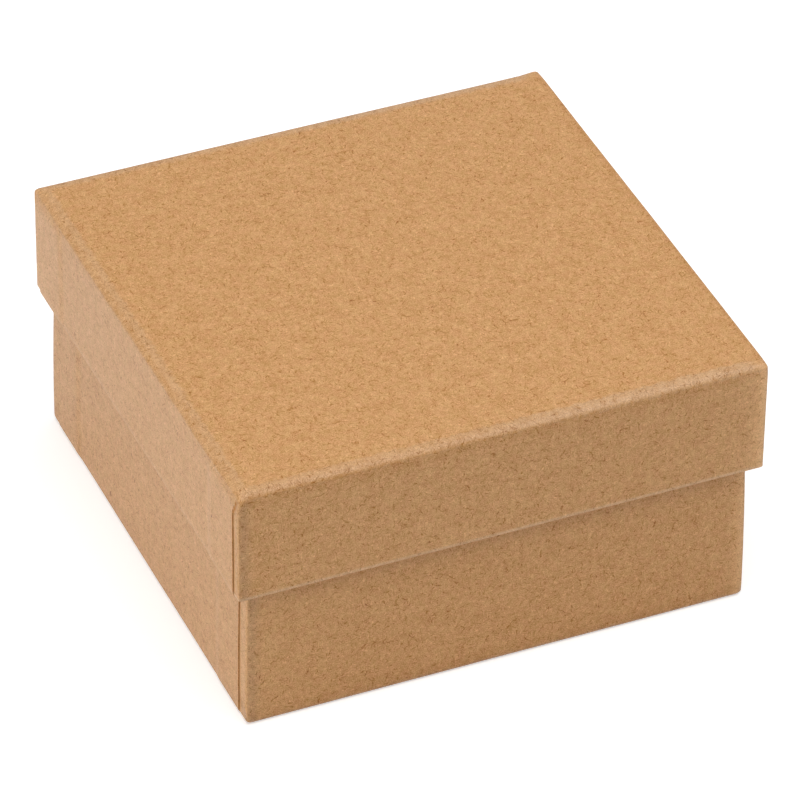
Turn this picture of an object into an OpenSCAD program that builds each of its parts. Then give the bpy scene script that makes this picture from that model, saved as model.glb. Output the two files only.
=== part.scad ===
// Rigid gift box: a square tray with a shallow lid that slides down over it.
// Each half is one board, cut at its corners and folded up into a tray. A paper stay tape
// holds each corner, and one sheet of kraft paper covers the outside, turned in over the rim.
// Millimetres, +Z up. The origin is on the floor, under the centre of the closed box.

/* [Box] */
// Width of the space inside the base, left to right
inside_w = 82; // [50:1:250]
// Depth of the space inside the base, front to back
inside_d = 82; // [50:1:250]
// Height of the base, from the floor to its rim
base_h = 45.5; // [25:0.5:150]

/* [Lid] */
// Height of the lid, from its rim to its top face
lid_h = 20.2; // [16:0.1:24]
// Free space between the base and the lid, on each side
lid_gap = 0.35; // [0.3:0.05:1]

/* [Board] */
// Thickness of the board
board_t = 1.3; // [0.9:0.1:2]
// Slit between the ends of two walls, above the corner that was cut out of the blank
corner_slit = 0.12; // [0.05:0.01:0.3]

/* [Corner stays] */
// Thickness of the stay tape
stay_t = 0.08; // [0.04:0.01:0.12]
// How far a stay reaches along each wall from the corner
stay_reach = 10; // [5:0.5:12]
// Bare board left above a stay, below the rim
stay_drop = 0.8; // [0.2:0.1:3]

/* [Paper wrap] */
// Thickness of the kraft paper
paper_t = 0.18; // [0.14:0.01:0.25]
// Outside radius where the paper turns from the panel up the walls
fold_r = 1.2; // [0.9:0.1:1.3]
// Outside radius of the upright corners
corner_r = 1; // [0.8:0.1:1.3]
// Length of the ears, which run from the front and back walls round onto the side walls
ear_l = 13; // [8:0.5:16]
// Length over which a side panel steps down from an ear onto the board
step_l = 0.8; // [0.4:0.1:1.5]

/* [Wrap of the base] */
// Distance from the corner to the cut edge of a side panel
base_cut_in = 3.2; // [1.5:0.1:5]
// Height over which that edge slants in from the corner of the fold
base_cut_slant = 0; // [0:0.1:4]
// Depth of the paper that is turned in over the rim
base_turn_in = 14; // [8:0.5:20]

/* [Wrap of the lid] */
// Distance from the corner to the cut edge of a side panel
lid_cut_in = 2.2; // [1.5:0.1:5]
// Height over which that edge slants in from the corner of the fold
lid_cut_slant = 2.4; // [0:0.1:4]
// Depth of the paper that is turned in over the rim
lid_turn_in = 12; // [8:0.5:13]

/* [Hidden] */
$fn = 48;

KRAFT = [0.78, 0.60, 0.41];
BOARD = [0.60, 0.50, 0.39];
TAPE = [0.86, 0.78, 0.64];
LEFT = -1;
RIGHT = 1;
FRONT = -1;
BACK = 1;

// Paper is one layer thick, and two where a side panel laps an ear
two_layers = 2 * paper_t;
panel_t = board_t + paper_t;
// The lid's board clears the base, the gap and the lid's own turned-in paper
lid_inside_w = inside_w + 2 * (board_t + two_layers + lid_gap + two_layers);
lid_inside_d = inside_d + 2 * (board_t + paper_t + lid_gap + paper_t);
closed_h = base_h + panel_t;
// How far a cutting shape runs past what it cuts
past = 1;

// A rectangle with rounded corners, centred
module round_rect(w, d, r) {
    square([w - 2 * r, d], center = true);
    square([w, d - 2 * r], center = true);
    for (x = [-1, 1])
        for (y = [-1, 1])
            translate([x * (w / 2 - r), y * (d / 2 - r)])
                circle(r);
}

// A tray seen from one side: round at the folds below, and at the rim above if rim_r is given
module side_view(w, h, r, rim_r = 0) {
    translate([-w / 2 + r, 0])
        square([w - 2 * r, h]);
    translate([-w / 2, r])
        square([w, h - r - rim_r]);
    for (x = [-1, 1])
        translate([x * (w / 2 - r), r])
            circle(r);
    if (rim_r > 0)
        for (x = [-1, 1])
            translate([x * (w / 2 - rim_r), h - rim_r])
                circle(rim_r);
    if (rim_r > 0)
        translate([-w / 2 + rim_r, h - r])
            square([w - 2 * rim_r, r]);
}

// Stands a drawing up to be seen from the front, and gives it a length along Y
module along_y(length) {
    rotate([90, 0, 0])
        linear_extrude(length, center = true)
            children();
}

// Stands a drawing up to be seen from the right, and gives it a length along X
module along_x(length) {
    rotate([90, 0, 90])
        linear_extrude(length, center = true)
            children();
}

// The outer form of a tray, filled in, with its panel on the floor
module tray_block(w, d, h, upright_r, r, rim_r = 0) {
    intersection() {
        linear_extrude(h)
            round_rect(w, d, upright_r);
        along_y(d)
            side_view(w, h, r, rim_r);
        along_x(w)
            side_view(d, h, r, rim_r);
    }
}

// The board's outer form. It starts on the paper below and ends under the paper on the rim.
module board_block(iw, id, h) {
    translate([0, 0, paper_t])
        tray_block(iw + 2 * board_t, id + 2 * board_t, h - paper_t - two_layers,
            corner_r - paper_t, fold_r - paper_t);
}

// One board folded into a tray. The front and back walls lap the ends of the side walls.
module tray_board(iw, id, h) {
    difference() {
        board_block(iw, id, h);
        translate([-iw / 2, -id / 2, panel_t])
            cube([iw, id, h]);
        for (x = [LEFT, RIGHT])
            for (y = [FRONT, BACK])
                translate([x * (iw + board_t) / 2, y * (id - corner_slit) / 2, panel_t + h / 2])
                    cube([board_t + 2 * past, corner_slit, h], center = true);
    }
}

// The tape round one upright corner of the board, from the fold to just below the rim
module tray_stay(iw, id, h, x, y) {
    w = iw + 2 * board_t;
    d = id + 2 * board_t;
    r = corner_r - paper_t;
    translate([0, 0, fold_r])
        linear_extrude(h - two_layers - stay_drop - fold_r)
            intersection() {
                difference() {
                    round_rect(w + 2 * stay_t, d + 2 * stay_t, r + stay_t);
                    round_rect(w, d, r);
                }
                translate([x * w / 2, y * d / 2])
                    square(2 * stay_reach, center = true);
            }
}

// The first layer of paper: it covers the panel and all four walls, and turns in at the rim
module paper_skin(iw, id, h, turn_in) {
    top = h - paper_t;
    difference() {
        tray_block(iw + 2 * panel_t, id + 2 * panel_t, top, corner_r, fold_r, paper_t);
        board_block(iw, id, h);
        translate([0, 0, h])
            cube([iw - 2 * paper_t, id - 2 * paper_t, 2 * two_layers + past], center = true);
    }
    translate([0, 0, top - turn_in])
        linear_extrude(turn_in)
            difference() {
                square([iw, id], center = true);
                square([iw - 2 * paper_t, id - 2 * paper_t], center = true);
            }
}

// Section of the second layer of paper on a side wall, with the wall's inner face at 0.
// It steps up onto the ear above the fold, then goes over the rim and down inside.
module second_layer(h, turn_in) {
    rim = h - two_layers;
    polygon([
        [panel_t - paper_t / 2, fold_r],
        [panel_t, fold_r],
        [panel_t + paper_t, fold_r + step_l],
        [panel_t + paper_t, rim],
        [panel_t - paper_t / 2, rim]
    ]);
    intersection() {
        translate([board_t, rim])
            difference() {
                circle(two_layers);
                circle(paper_t / 2);
            }
        translate([board_t, rim])
            square(two_layers);
    }
    translate([-two_layers, rim + paper_t / 2])
        square([two_layers + board_t, two_layers - paper_t / 2]);
    translate([-two_layers, h - paper_t - turn_in])
        square([two_layers - paper_t / 2, turn_in + paper_t]);
}

// Where a side panel laps the ear at one end of its wall, seen from the right.
// Its cut edge slants in from the corner of the fold, then stands straight up to the rim.
module lap_side(d, h, cut_in, slant) {
    ear_end = d / 2 - ear_l;
    polygon([
        [d / 2 - corner_r, 0],
        [d / 2 - corner_r, fold_r],
        [d / 2 - cut_in, fold_r + slant],
        [d / 2 - cut_in, h + paper_t],
        [ear_end + 2 * step_l, h + paper_t],
        [ear_end, h - paper_t],
        [ear_end, 0]
    ]);
}

// The same lap seen from above, with the steps where it comes down at the end of the ear
module lap_plan(d) {
    ear_end = d / 2 - ear_l;
    polygon([
        [-two_layers, ear_end + step_l],
        [-paper_t, ear_end],
        [panel_t, ear_end],
        [panel_t + paper_t, ear_end + step_l],
        [panel_t + paper_t, d / 2],
        [-two_layers, d / 2]
    ]);
}

// A side panel's second layer over the ear at the back of the right wall
module ear_lap(id, h, turn_in, cut_in, slant) {
    d = id + 2 * panel_t;
    intersection() {
        along_y(d)
            second_layer(h, turn_in);
        along_x(2 * (board_t + two_layers + past))
            lap_side(d, h, cut_in, slant);
        linear_extrude(h)
            lap_plan(d);
    }
}

// One sheet of paper round a board tray. Each ear lies on the board, under the side panel,
// and the sheet is bedded round the stays.
module tray_wrap(iw, id, h, turn_in, cut_in, slant) {
    difference() {
        union() {
            paper_skin(iw, id, h, turn_in);
            for (x = [0, 1])
                for (y = [0, 1])
                    mirror([x, 0, 0])
                        mirror([0, y, 0])
                            translate([iw / 2, 0, 0])
                                ear_lap(id, h, turn_in, cut_in, slant);
        }
        for (x = [LEFT, RIGHT])
            for (y = [FRONT, BACK])
                tray_stay(iw, id, h, x, y);
    }
}

// The lid is a tray turned over, with its panel on top
module turn_over() {
    translate([0, 0, closed_h])
        mirror([0, 0, 1])
            children();
}

module base_board() {
    color(BOARD)
        tray_board(inside_w, inside_d, base_h);
}

module base_wrap() {
    color(KRAFT)
        tray_wrap(inside_w, inside_d, base_h, base_turn_in, base_cut_in, base_cut_slant);
}

module base_stay(x, y) {
    color(TAPE)
        tray_stay(inside_w, inside_d, base_h, x, y);
}

module lid_board() {
    color(BOARD)
        turn_over()
            tray_board(lid_inside_w, lid_inside_d, lid_h);
}

module lid_wrap() {
    color(KRAFT)
        turn_over()
            tray_wrap(lid_inside_w, lid_inside_d, lid_h, lid_turn_in, lid_cut_in, lid_cut_slant);
}

module lid_stay(x, y) {
    color(TAPE)
        turn_over()
            tray_stay(lid_inside_w, lid_inside_d, lid_h, x, y);
}

base_board();
base_wrap();
base_stay(LEFT, FRONT);  // base_stay_front_left
base_stay(RIGHT, FRONT);  // base_stay_front_right
base_stay(LEFT, BACK);  // base_stay_back_left
base_stay(RIGHT, BACK);  // base_stay_back_right
lid_board();
lid_wrap();
lid_stay(LEFT, FRONT);  // lid_stay_front_left
lid_stay(RIGHT, FRONT);  // lid_stay_front_right
lid_stay(LEFT, BACK);  // lid_stay_back_left
lid_stay(RIGHT, BACK);  // lid_stay_back_right
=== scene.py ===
from math import acos, cos, pi, radians, sin
import bmesh
import bpy
from mathutils import Matrix, Vector, noise


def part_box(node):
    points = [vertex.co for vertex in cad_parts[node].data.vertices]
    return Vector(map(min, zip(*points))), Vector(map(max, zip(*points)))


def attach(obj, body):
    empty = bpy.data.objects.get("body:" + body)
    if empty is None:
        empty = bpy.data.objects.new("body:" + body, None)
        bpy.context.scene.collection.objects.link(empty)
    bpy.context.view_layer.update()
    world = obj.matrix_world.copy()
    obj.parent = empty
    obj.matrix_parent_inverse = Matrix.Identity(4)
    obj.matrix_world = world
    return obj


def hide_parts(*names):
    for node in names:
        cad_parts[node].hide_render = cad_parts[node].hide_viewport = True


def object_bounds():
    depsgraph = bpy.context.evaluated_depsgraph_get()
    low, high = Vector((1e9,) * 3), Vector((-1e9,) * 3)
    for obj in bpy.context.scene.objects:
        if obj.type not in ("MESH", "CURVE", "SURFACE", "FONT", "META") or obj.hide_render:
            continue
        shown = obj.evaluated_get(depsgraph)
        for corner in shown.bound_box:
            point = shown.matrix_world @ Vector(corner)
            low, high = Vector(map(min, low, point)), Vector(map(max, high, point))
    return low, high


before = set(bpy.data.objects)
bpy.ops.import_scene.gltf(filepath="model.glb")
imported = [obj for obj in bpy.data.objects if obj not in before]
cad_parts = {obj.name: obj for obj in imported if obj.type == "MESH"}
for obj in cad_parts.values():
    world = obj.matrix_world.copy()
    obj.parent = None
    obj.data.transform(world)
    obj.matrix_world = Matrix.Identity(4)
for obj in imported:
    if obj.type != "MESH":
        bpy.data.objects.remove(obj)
cad_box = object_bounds()

# The view of the box: from above its front left corner, with a long lens, a metre away.
# The camera is turned and tilted about the box's middle, and then moved back.
MM = 0.001
TURN = radians(-23.62)
RISE = radians(37.245)
ROLL = radians(0.795)
ASIDE = 1.105 * MM
DOWN = -1.464 * MM
AWAY = 1005.8 * MM

middle = Vector((0, 0, cad_box[1].z / 2))
camera = bpy.data.objects.new("camera", bpy.data.cameras.new("camera"))
bpy.context.scene.collection.objects.link(camera)
camera.data.sensor_width = 36
camera.data.lens = 279.86
camera.data.clip_start = 0.05
camera.data.clip_end = 20
camera.matrix_world = (
    Matrix.Translation(middle)
    @ Matrix.Rotation(TURN, 4, "Z")
    @ Matrix.Rotation(pi / 2 - RISE, 4, "X")
    @ Matrix.Rotation(ROLL, 4, "Z")
    @ Matrix.Translation((ASIDE, DOWN, AWAY))
)
bpy.context.scene.camera = camera
bpy.context.scene.view_settings.view_transform = "Standard"

# The studio: a pale table in a dim room, with one wide soft lamp overhead and a weaker one low
# down at the left. The eye sees the room and the table as white.
ROOM_GREY = 0.03
TABLE_HALF = 3
TABLE_GREY = 0.8
TABLE_LIFT = 0.5


def shader_node(tree, kind, settings=None, inputs=None):
    """Adds a node. Each input is given a plain value or another node's output."""
    node = tree.nodes.new("ShaderNode" + kind)
    for key, value in (settings or {}).items():
        setattr(node, key, value)
    for key, value in (inputs or {}).items():
        if isinstance(value, bpy.types.NodeSocket):
            tree.links.new(value, node.inputs[key])
        else:
            node.inputs[key].default_value = value
    return node


def calc(tree, operation, *values):
    """One sum on plain values or outputs."""
    return shader_node(tree, "Math", {"operation": operation}, dict(enumerate(values))).outputs[0]


def seen_directly(tree):
    """1 where the eye, a gloss or a clear thing looks straight at this surface, and 0 elsewhere."""
    rays = shader_node(tree, "LightPath").outputs
    seen = calc(tree, "MAXIMUM", rays["Is Camera Ray"], rays["Is Glossy Ray"])
    return calc(tree, "MAXIMUM", seen, rays["Is Transmission Ray"])


room = bpy.data.worlds.new("room")
room.use_nodes = True
bpy.context.scene.world = room
tree = room.node_tree
shown = shader_node(tree, "MapRange", inputs={
    "Value": seen_directly(tree), "To Min": ROOM_GREY, "To Max": 1.0})
backdrop = tree.nodes["Background"]
backdrop.inputs["Color"].default_value = (1, 1, 1, 1)
tree.links.new(shown.outputs["Result"], backdrop.inputs["Strength"])

table_mesh = bpy.data.meshes.new("table")
table_top = bmesh.new()
bmesh.ops.create_grid(table_top, x_segments=1, y_segments=1, size=TABLE_HALF)
table_top.to_mesh(table_mesh)
table_top.free()
table = bpy.data.objects.new("table", table_mesh)
bpy.context.scene.collection.objects.link(table)
table_paint = bpy.data.materials.new("table paint")
table_paint.use_nodes = True
tree = table_paint.node_tree
painted = tree.nodes["Principled BSDF"]
painted.inputs["Base Color"].default_value = (TABLE_GREY, TABLE_GREY, TABLE_GREY, 1)
painted.inputs["Roughness"].default_value = 0.9
painted.inputs["Specular IOR Level"].default_value = 0.1
painted.inputs["Emission Color"].default_value = (1, 1, 1, 1)
lift = calc(tree, "MULTIPLY", seen_directly(tree), TABLE_LIFT)
tree.links.new(lift, painted.inputs["Emission Strength"])
table_mesh.materials.append(table_paint)


def soft_lamp(name, place, size, watts):
    """A square white lamp at that place, aimed at the box."""
    lamp = bpy.data.lights.new(name, "AREA")
    lamp.size = size
    lamp.energy = watts
    holder = bpy.data.objects.new(name, lamp)
    bpy.context.scene.collection.objects.link(holder)
    holder.location = place
    holder.rotation_euler = (Vector(place) - middle).to_track_quat("Z", "Y").to_euler()


soft_lamp("overhead_lamp", place=(0.05, -0.15, 1.15), size=1.4, watts=15.8)
soft_lamp("left_lamp", place=(-1.15, -0.4, 0.3), size=0.7, watts=6.9)

# The wraps: one sheet of brown kraft paper round each half of the box. The sheet covers the
# panel and the walls. Its ears go round the corners and lie under the side panels, whose cut
# edge shows near each corner, and all of it is turned in over the rim and glued down inside.
PAPER = 0.18 * MM
BOARD = 1.3 * MM
THICK = BOARD + 2 * PAPER
RIM_R = 0.3 * MM
CELL = 1.25 * MM
TINY = 1e-6
SMOOTH_UNDER = radians(40)

# A fold or a corner is a curve x ** power + y ** power = 1, so a power of 2 is a true round.
FOLD_R = 1.0 * MM
FOLD_STEPS = 8
ROUND_POWER = 2
SHARP_POWER = 4
CORNER_POWER = 7
INNER_POWER = 24
SHARP_IN = 0.8 * MM
SHARP_BLEND = 6 * MM

# The side panels rise from the wall onto the ears over the step, and lie one paper higher there.
EAR = 13 * MM
STEP = 1.6 * MM
GROOVE_DEEP = 0.03 * MM
GROOVE_FLOOR = 0.1 * MM
GROOVE_W = 0.3 * MM

# The base bulges below the lid's rim, the lid's front rim hangs low, and no sheet is quite flat.
LID_RIM = 26.8 * MM
UNDER_LID = 8.0 * MM
DIP_FROM = 8 * MM
DIP_REACH = 6 * MM
BROAD_SIZE = 16 * MM
BROAD_RISE = 0.035 * MM
FINE_SIZE = 4 * MM
FINE_RISE = 0.01 * MM
SPARE = 0.045 * MM
SPARE_Z = 0.8 * SPARE
noise.seed_set(7)


def parts(geom, kind):
    return [g for g in geom if isinstance(g, kind)]


def clamp01(value):
    return max(0.0, min(1.0, value))


def tighten_corner(v, half_w, half_d, power):
    """Pushes a point of a round upright corner out, by the power of its curve."""
    out = Vector((abs(v.co.x) - half_w + FOLD_R, abs(v.co.y) - half_d + FOLD_R))
    if min(out) > 0:
        out *= min(out.length, FOLD_R) / (out.x ** power + out.y ** power) ** (1 / power)
        v.co.x = (half_w - FOLD_R + out.x) * (1 if v.co.x > 0 else -1)
        v.co.y = (half_d - FOLD_R + out.y) * (1 if v.co.y > 0 else -1)


def shape_fold(v, half_w, half_d, fold_in, sharp_right):
    """Turns the round fold into one that starts fold_in from the wall and turns most near it.
    The right side's fold can be creased sharper than the others."""
    over_x = abs(v.co.x) - half_w + FOLD_R
    over_y = abs(v.co.y) - half_d + FOLD_R
    past = Vector((over_x, over_y)).length if min(over_x, over_y) > 0 else max(over_x, over_y)
    inward = FOLD_R - past
    sharp = clamp01(0.5 + (over_x - over_y) / SHARP_BLEND) if sharp_right and v.co.x > 0 else 0
    fold_in += (SHARP_IN - fold_in) * sharp
    power = ROUND_POWER + (SHARP_POWER - ROUND_POWER) * sharp
    if inward < fold_in:
        v.co.z = FOLD_R * (1 - max(0, 1 - (1 - inward / fold_in) ** power) ** (1 / power))


def round_tray(sheet, width, depth, wall_h):
    """A tray with round folds, standing on its panel and cut into cells small enough to bend."""
    bmesh.ops.create_cube(sheet, size=1)
    bmesh.ops.scale(sheet, vec=(width, depth, wall_h), verts=sheet.verts)
    bmesh.ops.translate(sheet, vec=(0, 0, wall_h / 2), verts=sheet.verts)
    mouth = [f for f in sheet.faces if all(v.co.z > wall_h / 2 for v in f.verts)]
    bmesh.ops.delete(sheet, geom=mouth, context="FACES_ONLY")
    folds = [e for e in sheet.edges if not e.is_boundary]
    bmesh.ops.bevel(sheet, geom=folds, offset=FOLD_R, segments=FOLD_STEPS, profile=0.5,
                    material=-1, affect="EDGES")
    for axis, span in enumerate((width, depth, wall_h)):
        long = [e for e in sheet.edges
                if abs(e.verts[0].co[axis] - e.verts[1].co[axis]) > 4 * FOLD_R]
        bmesh.ops.subdivide_edges(sheet, edges=long, cuts=round(span / CELL))
    for axis, half in enumerate((width / 2, depth / 2)):
        for side in (-1, 1):
            for inward in (1.5 * FOLD_R, 2 * FOLD_R):
                line = Vector()
                normal = Vector()
                line[axis] = side * (half - inward)
                normal[axis] = 1
                geom = sheet.faces[:] + sheet.edges[:] + sheet.verts[:]
                bmesh.ops.bisect_plane(sheet, geom=geom, dist=TINY, plane_co=line,
                                       plane_no=normal)


def rows_over_rim(height, turn_in):
    """Where the sheet runs over the rim and down inside. Each row is how far in from the wall
    and how high it lies, and how far the paper has turned by there."""
    arc = (pi / 6, pi / 3, pi / 2)
    rows = [(RIM_R * (1 - cos(a)), height - RIM_R * (1 - sin(a)), a) for a in arc]
    rows += [(THICK - RIM_R * (1 - sin(a)), height - RIM_R * (1 - cos(a)), a + pi / 2)
             for a in (0,) + arc]
    steps = round((turn_in - RIM_R) / CELL)
    rows += [(THICK, height - RIM_R - (turn_in - RIM_R) * k / steps, pi)
             for k in range(1, steps + 1)]
    return rows


def fold_up(width, depth, height, turn_in, fold_in, sharp_right):
    """The outer face of the sheet, folded round a tray that stands on its panel.
    run is the distance along the sheet from the start of the fold, past_rim the same from the
    rim, from_corner and from_side the distance to the upright corner and to the side wall, and
    facing is the way the paper looks: 0 outwards, a quarter turn up, a half turn inwards."""
    sheet = bmesh.new()
    run, past_rim, from_corner, from_side, facing = (
        sheet.verts.layers.float.new(name)
        for name in ("run", "past_rim", "from_corner", "from_side", "facing"))
    wall_h = height - RIM_R
    round_tray(sheet, width, depth, wall_h)
    for v in sheet.verts:
        to_side = width / 2 - abs(v.co.x)
        to_end = depth / 2 - abs(v.co.y)
        z = v.co.z
        v[from_corner] = max(to_side, to_end)
        v[from_side] = to_side
        v[past_rim] = z - wall_h
        if z > FOLD_R:
            v[run] = FOLD_R * pi / 2 + z - FOLD_R
        elif z > TINY:
            v[run] = FOLD_R * acos(1 - z / FOLD_R)
        else:
            v[run] = FOLD_R - min(to_side, to_end)
        if z < FOLD_R + TINY:
            shape_fold(v, width / 2, depth / 2, fold_in, sharp_right)
        # A corner is a true round in the fold, and tightens over the next millimetre.
        upright = clamp01((z / FOLD_R - 0.2) / 1.2)
        power = ROUND_POWER + (CORNER_POWER - ROUND_POWER) * upright
        tighten_corner(v, width / 2, depth / 2, power)

    edge = [e for e in sheet.edges if e.is_boundary]
    inset, z, far = 0, wall_h, 0
    for next_inset, next_z, turn in rows_over_rim(height, turn_in):
        made = bmesh.ops.extrude_edge_only(sheet, edges=edge)["geom"]
        row = parts(made, bmesh.types.BMVert)
        kx = (width / 2 - next_inset) / (width / 2 - inset)
        ky = (depth / 2 - next_inset) / (depth / 2 - inset)
        bmesh.ops.scale(sheet, vec=(kx, ky, 1), verts=row)
        bmesh.ops.translate(sheet, vec=(0, 0, next_z - z), verts=row)
        far += Vector((next_inset - inset, next_z - z)).length
        for v in row:
            v[facing] = turn
            v[past_rim] = far
            v[run] = FOLD_R * (pi / 2 - 1) + wall_h + far
            if turn > 2 * pi / 3:
                tighten_corner(v, width / 2 - next_inset, depth / 2 - next_inset, INNER_POWER)
        edge = [e for e in parts(made, bmesh.types.BMEdge) if set(e.verts) <= set(row)]
        inset, z = next_inset, next_z
    return sheet


def give_thickness(sheet):
    """Turns the sheet's face outwards and backs it with a second face, one paper further in.
    skin is 1 on the outer face and 0 on the back."""
    skin = sheet.faces.layers.int.new("skin")
    for f in sheet.faces:
        f[skin] = 1
    bmesh.ops.recalc_face_normals(sheet, faces=sheet.faces)
    panel = max(sheet.faces, key=lambda f: -f.calc_center_median().z + abs(f.normal.z))
    if panel.normal.z > 0:
        bmesh.ops.reverse_faces(sheet, faces=sheet.faces)
    backing = bmesh.ops.solidify(sheet, geom=sheet.faces[:], thickness=PAPER)["geom"]
    for f in parts(backing, bmesh.types.BMFace):
        f[skin] = 0


def lay_side_panel(sheet, size, apex, bend, side, end, seam_shade_amount):
    """Raises a side panel over the ear at one corner, and presses a groove beside its cut edge.
    The cut runs from the apex, at the corner of the fold, to the bend, and then straight on over
    the rim. Both are given as the distance in from the corner and the height up from the panel.
    shade is the painted shade that darkens the paper in the groove."""
    width, depth, height = size
    skin = sheet.faces.layers.int["skin"]
    facing = sheet.verts.layers.float["facing"]
    shade = sheet.verts.layers.float["shade"]
    ear_y = depth / 2 - EAR
    top = height + PAPER
    slanted = bend[1] > apex[1]

    def seam_y(z):
        share = clamp01((z - apex[1]) / (bend[1] - apex[1])) if slanted else 1
        return depth / 2 - apex[0] - (bend[0] - apex[0]) * share

    def wall(low, high):
        return [f for f in sheet.faces
                if f[skin] and f.calc_center_median().x * side > width / 2 - 2 * THICK
                and f.calc_center_median().y * end > ear_y - CELL
                and low < f.calc_center_median().z < high]

    def cut(low, high, point, slope):
        """Cuts the wall between two heights, along the line through that point with that slope."""
        faces = wall(low, high)
        edges = dict.fromkeys(e for f in faces for e in f.edges)
        verts = dict.fromkeys(v for f in faces for v in f.verts)
        bmesh.ops.bisect_plane(sheet, geom=faces + list(edges) + list(verts), dist=TINY,
                               plane_co=(0, point[0] * end, point[1]),
                               plane_no=(0, slope[1] * end, -slope[0]))

    cut(0, top, (0, apex[1]), (1, 0))
    if slanted:
        cut(0, top, (0, bend[1]), (1, 0))
    for y in (ear_y, ear_y + STEP):
        cut(0, top, (y, 0), (0, 1))
    for beside in (0, GROOVE_FLOOR, GROOVE_W):
        cut(bend[1], top, (depth / 2 - bend[0] + beside, 0), (0, 1))
        if slanted:
            cut(apex[1], bend[1], (depth / 2 - apex[0] + beside, apex[1]),
                (apex[0] - bend[0], bend[1] - apex[1]))

    def lapped(f):
        at = f.calc_center_median()
        inside = max(v[facing] for v in f.verts) > pi / 2
        return ear_y < at.y * end < seam_y(height if inside else at.z)

    region = [f for f in wall(apex[1], top) if lapped(f)]
    ground = dict.fromkeys(v for f in wall(apex[1], top) for v in f.verts)
    made = bmesh.ops.extrude_face_region(sheet, geom=region)["geom"]
    bmesh.ops.delete(sheet, geom=[f for f in region if f.is_valid], context="FACES")
    for v in parts(made, bmesh.types.BMVert):
        risen = 1 if v[facing] else clamp01((v.co.z - apex[1]) / (STEP / 2))
        risen *= clamp01((v.co.y * end - ear_y) / STEP)
        v.co += Vector((cos(v[facing]) * side, 0, sin(v[facing]))) * PAPER * risen
    for v in ground:
        beside = v.co.y * end - seam_y(v.co.z) if v.is_valid else -1
        if v.is_valid and v[facing] < 0.1 and -TINY < beside < GROOVE_W:
            deep = clamp01((GROOVE_W - beside) / (GROOVE_W - GROOVE_FLOOR))
            deep *= clamp01((v.co.z - apex[1]) / (STEP / 2))
            v.co.x -= GROOVE_DEEP * deep * side
            # Painted shade in the groove beside the cut edge.
            v[shade] = deep ** 3 * seam_shade_amount
    bmesh.ops.remove_doubles(sheet, verts=sheet.verts, dist=TINY)


def map_sheet(sheet, size, apex, bend):
    """Gives each face its place on the flat sheet, in metres. The ears go with the front and back."""
    width, depth, height = size
    flat = sheet.loops.layers.uv.new("sheet")
    run = sheet.verts.layers.float["run"]
    for f in sheet.faces:
        at = f.calc_center_median()
        to_front = depth / 2 - abs(at.y)
        to_side = width / 2 - abs(at.x)
        slant = clamp01((at.z - apex[1]) / max(bend[1] - apex[1], TINY))
        on_ear = to_side < THICK / 2 and to_front < apex[0] + (bend[0] - apex[0]) * slant
        on_panel = min(v[run] for v in f.verts) < -TINY
        for corner in f.loops:
            x, y, z = corner.vert.co
            far = max(corner.vert[run], 0) - FOLD_R
            along_x = 1 if x > 0 else -1
            along_y = 1 if y > 0 else -1
            if on_panel:
                place = Vector((x, y))
            elif on_ear or to_front < to_side:
                round_corner = depth / 2 - abs(y) if on_ear else 0
                place = Vector((along_x * (abs(x) + round_corner), along_y * (depth / 2 + far)))
            else:
                place = Vector((along_x * (width / 2 + far), y))
            corner[flat].uv = place


def settle(sheet, size, bulge, lean, dip, seed):
    """Lets the walls stand out by the bulge below the lid's rim, and lean out further towards the
    foot. Lets the front rim hang low by the dip, and makes the sheet slightly uneven."""
    width, depth, height = size
    for v in sheet.verts:
        p = v.co.copy()
        out = bulge * clamp01(1 - (p.z - LID_RIM) / UNDER_LID)
        out += lean * clamp01(1 - (p.z / LID_RIM) ** 2)
        v.co.x *= 1 + (out - SPARE) / (width / 2)
        v.co.y *= 1 + (out - SPARE) / (depth / 2)
        v.co.z = SPARE_Z + p.z * (1 - 2 * SPARE_Z / height)
        near_front = clamp01((p.y - depth / 2 + DIP_FROM) / DIP_REACH)
        near_rim = clamp01(p.z / height * 1.4 - 0.3)
        v.co.z += dip * near_front * near_rim
        broad = noise.noise_vector(p / BROAD_SIZE + seed) * BROAD_RISE
        fine = noise.noise_vector(p / FINE_SIZE - seed) * FINE_RISE
        v.co += broad + fine


def make_wrap(name, body, node, turn_in, fold_in, sharp_right, apex, bend, seam_shade_amount, bulge, lean,
              dip, seed, paper_batch, turned_over):
    """One half's wrap, in place of its CAD node. The lid's is folded upright and turned over."""
    low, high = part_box(node)
    size = (high.x - low.x - 2 * PAPER, high.y - low.y, high.z - low.z - PAPER)
    sheet = fold_up(*size, turn_in, fold_in, sharp_right)
    give_thickness(sheet)
    sheet.verts.layers.float.new("shade")
    for side in (-1, 1):
        for end in (-1, 1):
            lay_side_panel(sheet, size, apex, bend, side, end, seam_shade_amount)
    map_sheet(sheet, size, apex, bend)
    batch = sheet.verts.layers.float.new("batch")
    for v in sheet.verts:
        v[batch] = paper_batch
    settle(sheet, size, bulge, lean, dip, Vector(seed))
    if turned_over:
        bmesh.ops.rotate(sheet, cent=(0, 0, 0), matrix=Matrix.Rotation(pi, 3, "X"),
                         verts=sheet.verts)
        bmesh.ops.translate(sheet, vec=(0, 0, cad_box[1].z), verts=sheet.verts)
    for f in sheet.faces:
        f.smooth = True
    for e in sheet.edges:
        e.smooth = e.calc_face_angle(0) < SMOOTH_UNDER
    sheet.verts.layers.float.remove(sheet.verts.layers.float["facing"])
    sheet.faces.layers.int.remove(sheet.faces.layers.int["skin"])
    mesh = bpy.data.meshes.new(name)
    sheet.to_mesh(mesh)
    sheet.free()
    piece = bpy.data.objects.new(name, mesh)
    bpy.context.scene.collection.objects.link(piece)
    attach(piece, body)
    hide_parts(node)
    return piece


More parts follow.
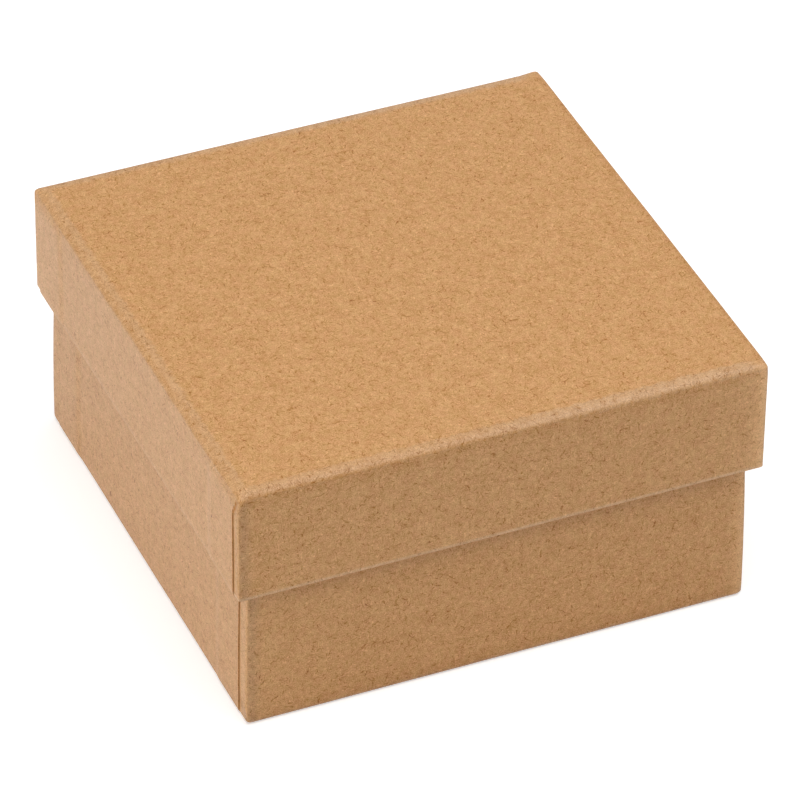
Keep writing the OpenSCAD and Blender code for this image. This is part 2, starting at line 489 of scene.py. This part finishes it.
base_paper = make_wrap(
    "base_paper_wrap", "base", "base_wrap", turn_in=14 * MM, fold_in=FOLD_R, sharp_right=False,
    apex=(3.2 * MM, 0.3 * MM), bend=(3.2 * MM, 0.3 * MM), seam_shade_amount=0.9, bulge=0.16 * MM,
    lean=0.39 * MM, dip=0, seed=(3.1, 7.7, 1.9), paper_batch=1, turned_over=False)
lid_paper = make_wrap(
    "lid_paper_wrap", "lid", "lid_wrap", turn_in=12 * MM, fold_in=1.6 * MM, sharp_right=True,
    apex=(0.75 * MM, 0.85 * MM), bend=(2.2 * MM, 4.1 * MM), seam_shade_amount=1, bulge=0, lean=0,
    dip=0.42 * MM, seed=(8.3, 2.2, 5.6), paper_batch=0, turned_over=True)

# The kraft paper of both wraps: brown pulp, pressed smooth on its outer face, with darker and
# paler fibres that lie every way. It is rubbed pale and creased where it is folded, where it
# goes over a rim and at the corners, with a painted sheen on the folds, painted light on the
# rims and a painted highlight on the corners. Painted shade darkens the folds, and a cut edge
# beside a groove shows as a thin dark line of painted shade.
KRAFT_OLIVE = (0.56145, 0.2929, 0.09894, 1)
KRAFT_RUSSET = (0.57855, 0.2871, 0.10506, 1)
# The paler colour of rubbed paper, also used for the painted sheen and highlights.
KRAFT_RUBBED_AND_SHEEN = (0.56, 0.322, 0.155, 1)
KRAFT_STEP = (0.53, 0.39, 0.25)
KRAFT_ROUGH = 0.42
KRAFT_GLOSS = 0.43
SEAM_SHADE = 0.45
FLARE_W = 2.5 * MM
FLARE_RISE = 32.0
CREASE_RISE = 2.5


def calc3(tree, operation, *values):
    """One sum on vectors. Dot products and lengths come out as a value."""
    node = shader_node(tree, "VectorMath", {"operation": operation}, dict(enumerate(values)))
    return node.outputs["Value" if operation in ("DOT_PRODUCT", "LENGTH") else "Vector"]


def scaled(tree, vector, amount):
    """A vector times one value."""
    inputs = {0: vector, "Scale": amount}
    return shader_node(tree, "VectorMath", {"operation": "SCALE"}, inputs).outputs["Vector"]


def product(tree, *values):
    """All the values multiplied together."""
    total = values[0]
    for value in values[1:]:
        total = calc(tree, "MULTIPLY", total, value)
    return total


def lessened(tree, share, by=1.0):
    """1 where the share is 0, and less by that much where it is 1."""
    return calc(tree, "MULTIPLY_ADD", share, -by, 1.0)


def ramp(tree, value, low, high, to_low=0.0, to_high=1.0):
    """Runs smoothly from one value to another as the input goes from low to high."""
    inputs = {"Value": value, "From Min": low, "From Max": high, "To Min": to_low, "To Max": to_high}
    return shader_node(tree, "MapRange", {"interpolation_type": "SMOOTHSTEP"},
                       inputs).outputs["Result"]


def ridge(tree, distance, start, full_from, full_to, end):
    """1 between two distances, fading to 0 outside them."""
    return product(tree, ramp(tree, distance, start, full_from),
                   ramp(tree, distance, full_to, end, 1.0, 0.0))


def fade(tree, distance, reach):
    """1 at no distance, dying away with it."""
    return calc(tree, "EXPONENT", calc(tree, "DIVIDE", distance, -reach))


def blend(tree, share, first, second):
    """One colour that turns into the other as the share goes from 0 to 1."""
    return shader_node(tree, "Mix", {"data_type": "RGBA"},
                       {"Factor": share, "A": first, "B": second}).outputs["Result"]


def weighted(tree, rows):
    """Adds up values, each less its own middle and times its weight."""
    total = 0.0
    for value, middle_value, weight in rows:
        part = product(tree, calc(tree, "SUBTRACT", value, middle_value), weight)
        total = calc(tree, "ADD", total, part)
    return total


def new_group(name, ins, outs):
    """An empty node group with these inputs and outputs, and its input and output nodes."""
    group = bpy.data.node_groups.new(name, "ShaderNodeTree")
    for way, sockets in (("INPUT", ins), ("OUTPUT", outs)):
        for label, value in sockets:
            kind = "NodeSocketVector" if isinstance(value, tuple) else "NodeSocketFloat"
            socket = group.interface.new_socket(label, in_out=way, socket_type=kind)
            socket.default_value = value
    given = group.nodes.new("NodeGroupInput").outputs
    wanted = group.nodes.new("NodeGroupOutput").inputs
    return group, given, wanted


def place_group(tree, group, inputs):
    return shader_node(tree, "Group", {"node_tree": group}, inputs).outputs


def make_fibres():
    """The group that lays one fibre somewhere in each cell of a loose grid, at any angle and
    slightly bent. The fibres' sizes are shares of the cell."""
    tree, given, wanted = new_group(
        "pulp fibres",
        [("Vector", (0.0, 0.0, 0.0)), ("Cell", 0.001), ("Half Length", 0.4),
         ("Half Width", 0.08), ("Share", 0.7), ("Seed", 0.0)],
        [("Fibre", 0.0)])
    place = scaled(tree, given["Vector"], calc(tree, "DIVIDE", 1.0, given["Cell"]))
    place = calc3(tree, "ADD", place, calc3(tree, "MULTIPLY", (7.3, 3.1, 0.0), given["Seed"]))
    sway = shader_node(tree, "TexNoise", {"noise_dimensions": "2D"},
                       {"Vector": place, "Scale": 0.9, "Detail": 1.0}).outputs["Color"]
    sway = calc3(tree, "SUBTRACT", sway, (0.5, 0.5, 0.5))
    place = calc3(tree, "ADD", place, calc3(tree, "MULTIPLY", sway, (0.9, 0.9, 0.0)))
    cells = shader_node(tree, "TexVoronoi", {"voronoi_dimensions": "2D"},
                        {"Vector": place, "Scale": 1.0}).outputs
    from_middle = calc3(tree, "SUBTRACT", place, cells["Position"])
    luck = shader_node(tree, "SeparateXYZ", inputs={"Vector": cells["Color"]}).outputs
    angle = product(tree, luck["X"], pi)
    lie = shader_node(tree, "CombineXYZ", inputs={
        "X": calc(tree, "COSINE", angle), "Y": calc(tree, "SINE", angle)}).outputs[0]
    along = calc(tree, "ABSOLUTE", calc3(tree, "DOT_PRODUCT", from_middle, lie))
    aside = calc3(tree, "LENGTH", calc3(tree, "CROSS_PRODUCT", from_middle, lie))
    in_width = ramp(tree, aside, 0.0, given["Half Width"], 1.0, 0.0)
    in_length = ramp(tree, along, product(tree, given["Half Length"], 0.5), given["Half Length"],
                     1.0, 0.0)
    present = calc(tree, "LESS_THAN", luck["Y"], given["Share"])
    strength = product(tree, present, calc(tree, "MULTIPLY_ADD", luck["Z"], 0.7, 0.3))
    strength = product(tree, strength, product(tree, in_width, in_length))
    tree.links.new(strength, wanted["Fibre"])
    return tree


pulp_fibres = make_fibres()


def fibre_layer(tree, surface, cell, half_length, half_width, share, seed):
    """Fibres of about those sizes, one to each cell, on the share of the cells."""
    inputs = {"Vector": surface, "Cell": cell, "Seed": seed, "Share": share,
              "Half Length": half_length / cell, "Half Width": half_width / cell}
    return place_group(tree, pulp_fibres, inputs)["Fibre"]


def pulp_noise(tree, surface, size, detail, seed):
    """Noise from 0 to 1 whose patches are about that many metres across."""
    moved = calc3(tree, "ADD", surface, (seed * 0.013, seed * 0.007, 0.0))
    inputs = {"Vector": moved, "Scale": 1 / size, "Detail": detail, "Roughness": 0.6}
    return shader_node(tree, "TexNoise", {"noise_dimensions": "2D"}, inputs).outputs["Fac"]


def carried(tree, name):
    """A distance that the sheet carries, such as how far a point lies past the fold."""
    return shader_node(tree, "Attribute", {"attribute_name": name}).outputs["Fac"]


kraft = bpy.data.materials.new("kraft paper")
kraft.use_nodes = True
tree = kraft.node_tree
paper = tree.nodes["Principled BSDF"]
on_sheet = shader_node(tree, "UVMap", {"uv_map": "sheet"}).outputs["UV"]
run = carried(tree, "run")
past_rim = carried(tree, "past_rim")
to_corner = carried(tree, "from_corner")
batch = carried(tree, "batch")

# Each half is cut from its own place in the paper.
surface = calc3(tree, "ADD", on_sheet, scaled(tree, (0.31, 0.17, 0.0), batch))
fine_dark = fibre_layer(tree, surface, cell=0.8 * MM, half_length=0.4 * MM,
                        half_width=0.13 * MM, share=0.6, seed=1.0)
long_dark = fibre_layer(tree, surface, cell=1.9 * MM, half_length=0.8 * MM,
                        half_width=0.14 * MM, share=0.5, seed=2.0)
pale = fibre_layer(tree, surface, cell=0.9 * MM, half_length=0.3 * MM,
                   half_width=0.14 * MM, share=0.7, seed=3.0)
speck = fibre_layer(tree, surface, cell=14.0 * MM, half_length=0.35 * MM,
                    half_width=0.22 * MM, share=0.5, seed=4.0)
grain = pulp_noise(tree, surface, size=0.22 * MM, detail=2.0, seed=1)
clumps = pulp_noise(tree, surface, size=0.9 * MM, detail=2.0, seed=2)
patches = pulp_noise(tree, surface, size=3.0 * MM, detail=2.0, seed=3)
hue = pulp_noise(tree, surface, size=1.8 * MM, detail=1.0, seed=4)
wander = pulp_noise(tree, surface, size=2.5 * MM, detail=2.0, seed=5)
crinkle = pulp_noise(tree, surface, size=0.7 * MM, detail=2.0, seed=6)
fray = pulp_noise(tree, surface, size=0.5 * MM, detail=1.0, seed=7)

# Which wall of the box a point is on. The front and back are one, as the sheet runs.
across, along, _ = shader_node(tree, "SeparateXYZ", inputs={"Vector": on_sheet}).outputs
past_diagonal = calc(tree, "SUBTRACT", calc(tree, "ABSOLUTE", across),
                     calc(tree, "ABSOLUTE", along))
on_side = ramp(tree, past_diagonal, -2 * MM, 1 * MM)
on_right = product(tree, on_side, calc(tree, "GREATER_THAN", across, 0.0))
on_left = calc(tree, "SUBTRACT", on_side, on_right)

# The folds are rubbed pale and carry a painted sheen, the front and back most and the right one
# least. The edge of the rubbing wanders and is frayed. Painted shade darkens the front fold just
# below it, and just inside it on the left.
wander = calc(tree, "MULTIPLY_ADD", wander, 1.2 * MM, -0.6 * MM)
fray = calc(tree, "MULTIPLY_ADD", fray, 0.9 * MM, -0.45 * MM)
past_fold = calc(tree, "ADD", run, calc(tree, "ADD", wander, fray))
# Rubbed pale, with a painted sheen.
fold_rub_and_sheen = product(tree, ridge(tree, past_fold, -1.6 * MM, -0.8 * MM, 1.0 * MM, 1.7 * MM),
                   ramp(tree, across, -15 * MM, 15 * MM, 0.65, 1.0), lessened(tree, on_right))
# Painted shade just below the front fold.
shade_under_fold = product(tree, ridge(tree, past_fold, 1.3 * MM, 1.9 * MM, 2.3 * MM, 3.6 * MM),
                     lessened(tree, on_side))
# Painted shade inside the fold, most towards the left.
shade_in_fold = product(tree, ridge(tree, past_fold, -0.3 * MM, 0.4 * MM, 1.2 * MM, 1.9 * MM),
                  ramp(tree, across, -15 * MM, 15 * MM, 1.6, 0.8),
                  lessened(tree, on_left, by=0.6))

# The rims and corners are rubbed pale, with painted light on the rims and a painted highlight
# on the corners, and the right corners carry a wider painted highlight.
# Rubbed pale, with painted light along the rims.
rim_rub_and_light = product(tree, ridge(tree, past_rim, -0.6 * MM, -0.2 * MM, 0.7 * MM, 1.0 * MM),
                  lessened(tree, on_left, by=0.9))
# Rubbed pale, with a painted highlight on the upright corners.
corner_rub_and_highlight = ramp(tree, calc(tree, "ADD", to_corner, product(tree, wander, 0.5)),
                  0.0, 0.7 * MM, 0.6, 0.0)
# A painted highlight: the right corners are paler, where light from the right falls on them.
right_corner_highlight = product(tree, fade(tree, to_corner, 1.0 * MM), ramp(tree, across, 0.0, 30 * MM))
# All the rubbing in one share, with its painted sheen, light and highlight.
rub_and_sheen = calc(tree, "MAXIMUM", fold_rub_and_sheen, calc(tree, "MAXIMUM", rim_rub_and_light, corner_rub_and_highlight))
rub_and_sheen = product(tree, rub_and_sheen, ramp(tree, clumps, 0.2, 0.6, 0.6, 1.0))
rub_and_sheen = calc(tree, "MAXIMUM", rub_and_sheen, product(tree, right_corner_highlight, 0.8))

# The paper is a little paler towards the base's front left corner, and towards the lid's other
# corners. The lid is turned over, so its front lies the other way on the sheet.
to_front = product(tree, along, lessened(tree, batch, by=2.0))
front_left = product(tree, calc(tree, "GREATER_THAN", to_front, 0.0),
                     calc(tree, "LESS_THAN", across, 0.0))
paler_near_corners = calc(tree, "ABSOLUTE", calc(tree, "SUBTRACT", batch, lessened(tree, front_left)))
paler_near_corners = product(tree, paler_near_corners, fade(tree, to_corner, 6.0 * MM), ramp(tree, run, 0.0, 2.0 * MM),
                  lessened(tree, product(tree, on_side, batch)))

# Lighter and darker paper: grain, fibres and specks, with painted light on the rims and right corners
# and painted shade at the front fold.
bright = weighted(tree, [
    (grain, 0.5, 0.95),
    (clumps, 0.5, 0.4),
    (patches, 0.5, 0.25),
    (speck, 0.0, -0.45),
    (fine_dark, 0.05, -0.45),
    (long_dark, 0.03, -0.4),
    (pale, 0.04, 0.3),
    (rim_rub_and_light, 0.0, 0.12),
    (shade_under_fold, 0.0, -0.06),
    (shade_in_fold, 0.0, -0.09),
    (right_corner_highlight, 0.0, 0.39),
    (paler_near_corners, 0.0, 0.1),
    (batch, 0.0, -0.02),
])
tint = blend(tree, ramp(tree, hue, 0.25, 0.75), KRAFT_OLIVE, KRAFT_RUSSET)
# Paler where the folds, rims and corners are rubbed, and where their painted sheen and light lie.
colour = blend(tree, rub_and_sheen, tint, KRAFT_RUBBED_AND_SHEEN)
colour = calc3(tree, "ADD", colour, scaled(tree, KRAFT_STEP, bright))
# Painted shade: the groove beside each cut edge is drawn darker.
colour = scaled(tree, colour, lessened(tree, carried(tree, "shade"), by=SEAM_SHADE))
tree.links.new(colour, paper.inputs["Base Color"])
paper.inputs["Roughness"].default_value = KRAFT_ROUGH
paper.inputs["Specular IOR Level"].default_value = KRAFT_GLOSS

# The front and back walls rise a little towards their corners, where the ears bend round.
flare = lessened(tree, carried(tree, "from_side"), by=1 / FLARE_W)
flare = calc(tree, "POWER", calc(tree, "MAXIMUM", flare, 0.0), 2.0)
flare = product(tree, flare, ramp(tree, run, 0.0, 2.0 * MM, 0.0, FLARE_RISE),
                lessened(tree, on_side))
height = weighted(tree, [
    (grain, 0.5, 1.0),
    (clumps, 0.5, 1.0),
    (fine_dark, 0.0, -0.3),
    (pale, 0.0, 0.3),
    (flare, 0.0, 1.0),
    (product(tree, rub_and_sheen, crinkle), 0.0, CREASE_RISE),
])
bump = shader_node(tree, "Bump", inputs={
    "Height": height, "Distance": 0.02 * MM, "Strength": 1.0})
tree.links.new(bump.outputs["Normal"], paper.inputs["Normal"])
for piece in (base_paper, lid_paper):
    piece.data.materials.append(kraft)

# The boards: each half of the box is one folded tray of grey brown board. It is bare inside,
# and shows the flecks of the waste paper that it is pressed from.
BOARD_BROWN = (0.34, 0.235, 0.145, 1)
BOARD_PALE = (0.41, 0.3, 0.2, 1)
BOARD_DARK = (0.17, 0.11, 0.07, 1)
BOARD_FLECK = (0.58, 0.5, 0.4, 1)
BOARD_ROUGH = 0.75
BOARD_GLOSS = 0.3


def make_flat_place():
    """The group that gives a tray's floor and each of its walls a flat place of their own, in
    metres, for the flecks and fibres to lie on."""
    tree, given, wanted = new_group(
        "flat place", [("Place", (0.0, 0.0, 0.0)), ("Facing", (0.0, 0.0, 0.0))],
        [("Flat", (0.0, 0.0, 0.0))])
    x, y, z = shader_node(tree, "SeparateXYZ", inputs={"Vector": given["Place"]}).outputs
    out = calc3(tree, "ABSOLUTE", given["Facing"])
    out_x, out_y, out_z = shader_node(tree, "SeparateXYZ", inputs={"Vector": out}).outputs
    faces_up = calc(tree, "GREATER_THAN", out_z, calc(tree, "MAXIMUM", out_x, out_y))
    faces_side = calc(tree, "GREATER_THAN", out_x, out_y)
    level = calc(tree, "MULTIPLY_ADD", calc(tree, "SUBTRACT", y, x), faces_side, x)
    wall = shader_node(tree, "CombineXYZ", inputs={"X": level, "Y": z}).outputs[0]
    floor = shader_node(tree, "CombineXYZ", inputs={"X": x, "Y": y}).outputs[0]
    flat = shader_node(tree, "Mix", {"data_type": "VECTOR"},
                       {"Factor": faces_up, "A": wall, "B": floor})
    tree.links.new(flat.outputs["Result"], wanted["Flat"])
    return tree


flat_place = make_flat_place()


def lay_flat(tree):
    """The flat place of each point of a board or a tape."""
    known = shader_node(tree, "TexCoord").outputs
    inputs = {"Place": known["Object"], "Facing": known["Normal"]}
    return place_group(tree, flat_place, inputs)["Flat"]


board = bpy.data.materials.new("pulp board")
board.use_nodes = True
tree = board.node_tree
surface = lay_flat(tree)
press_grain = pulp_noise(tree, surface, size=0.35 * MM, detail=3.0, seed=11)
cloud = pulp_noise(tree, surface, size=2.4 * MM, detail=3.0, seed=12)
dark_fleck = fibre_layer(tree, surface, cell=1.3 * MM, half_length=0.35 * MM,
                         half_width=0.12 * MM, share=0.6, seed=5.0)
pale_fleck = fibre_layer(tree, surface, cell=2.1 * MM, half_length=0.5 * MM,
                         half_width=0.12 * MM, share=0.45, seed=6.0)
long_fibre = fibre_layer(tree, surface, cell=2.6 * MM, half_length=1.1 * MM,
                         half_width=0.09 * MM, share=0.6, seed=7.0)
colour = blend(tree, ramp(tree, cloud, 0.3, 0.7), BOARD_BROWN, BOARD_PALE)
pits = product(tree, ramp(tree, press_grain, 0.65, 0.3), 0.3)
colour = blend(tree, pits, colour, BOARD_DARK)
colour = blend(tree, product(tree, dark_fleck, 0.6), colour, BOARD_DARK)
pale_bits = calc(tree, "MAXIMUM", pale_fleck, long_fibre)
colour = blend(tree, product(tree, pale_bits, 0.5), colour, BOARD_FLECK)
pressed = tree.nodes["Principled BSDF"]
tree.links.new(colour, pressed.inputs["Base Color"])
pressed.inputs["Roughness"].default_value = BOARD_ROUGH
pressed.inputs["Specular IOR Level"].default_value = BOARD_GLOSS
height = weighted(tree, [
    (press_grain, 0.5, 1.0),
    (cloud, 0.5, 1.2),
    (long_fibre, 0.0, 0.4),
    (dark_fleck, 0.0, -0.3),
])
bump = shader_node(tree, "Bump", inputs={
    "Height": height, "Distance": 0.04 * MM, "Strength": 1.0})
tree.links.new(bump.outputs["Normal"], pressed.inputs["Normal"])
for half in ("base", "lid"):
    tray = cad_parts[half + "_board"]
    tray.data.materials.clear()
    tray.data.materials.append(board)

# The stays: short strips of buff gummed tape that hold each upright corner of a board, under
# the wrap. The tape is thin smooth paper with fine lines across it.
TAPE_BUFF = (0.68, 0.56, 0.38, 1)
TAPE_DEEP = (0.56, 0.44, 0.28, 1)
TAPE_ROUGH = 0.5
TAPE_LINE = 0.9 * MM

tape = bpy.data.materials.new("gummed tape")
tape.use_nodes = True
tree = tape.node_tree
surface = lay_flat(tree)
streaks = shader_node(tree, "TexWave", {"bands_direction": "Y"},
                      {"Vector": surface, "Scale": 0.314 / TAPE_LINE, "Distortion": 1.2,
                       "Detail": 2.0}).outputs["Fac"]
cloud = pulp_noise(tree, surface, size=1.6 * MM, detail=2.0, seed=21)
tape_fibre = fibre_layer(tree, surface, cell=1.2 * MM, half_length=0.6 * MM,
                         half_width=0.1 * MM, share=0.6, seed=8.0)
colour = blend(tree, ramp(tree, cloud, 0.25, 0.75), TAPE_BUFF, TAPE_DEEP)
deep_bits = calc(tree, "MAXIMUM", tape_fibre, streaks)
colour = blend(tree, product(tree, deep_bits, 0.25), colour, TAPE_DEEP)
gummed = tree.nodes["Principled BSDF"]
tree.links.new(colour, gummed.inputs["Base Color"])
gummed.inputs["Roughness"].default_value = TAPE_ROUGH
height = weighted(tree, [
    (cloud, 0.5, 1.0),
    (streaks, 0.5, 0.3),
    (tape_fibre, 0.0, 0.3),
])
bump = shader_node(tree, "Bump", inputs={
    "Height": height, "Distance": 0.015 * MM, "Strength": 1.0})
tree.links.new(bump.outputs["Normal"], gummed.inputs["Normal"])
for name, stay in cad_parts.items():
    if "_stay_" in name:
        stay.data.materials.clear()
        stay.data.materials.append(tape)
